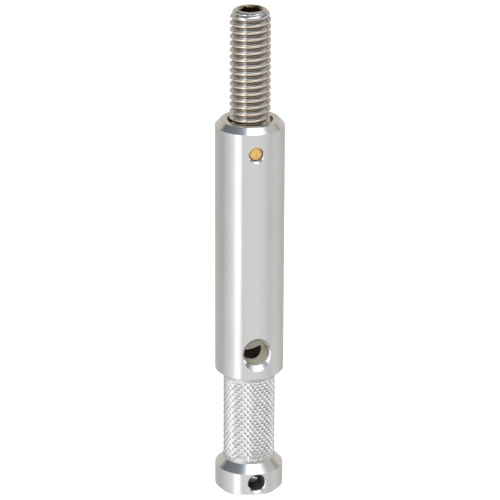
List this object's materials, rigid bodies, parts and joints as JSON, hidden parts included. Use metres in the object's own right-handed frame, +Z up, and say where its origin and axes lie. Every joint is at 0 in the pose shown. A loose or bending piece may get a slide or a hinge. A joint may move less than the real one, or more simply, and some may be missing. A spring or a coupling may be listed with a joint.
{
  "type": "lighting grip spigot",
  "caption": "Turned metal spigot with cross holes, a knurled neck over a small flange, and a threaded stud held in its top by a cross pin.",
  "frame": {"origin": "centre of the flange's flat bottom face, on the spigot's axis", "axes": "+Z up the spigot's axis towards the stud, Y along the cross holes"},
  "size_m": [0.0158, 0.0158, 0.1169],
  "materials": {
    "aluminium": "fine turned satin",
    "steel": "bright rolled stainless",
    "brass": "satin, cut flat"
  },
  "bodies": {
    "root": {"spigot_body": "aluminium", "threaded_stud": "steel", "lock_pin": "brass"}
  },
  "joints": []
}
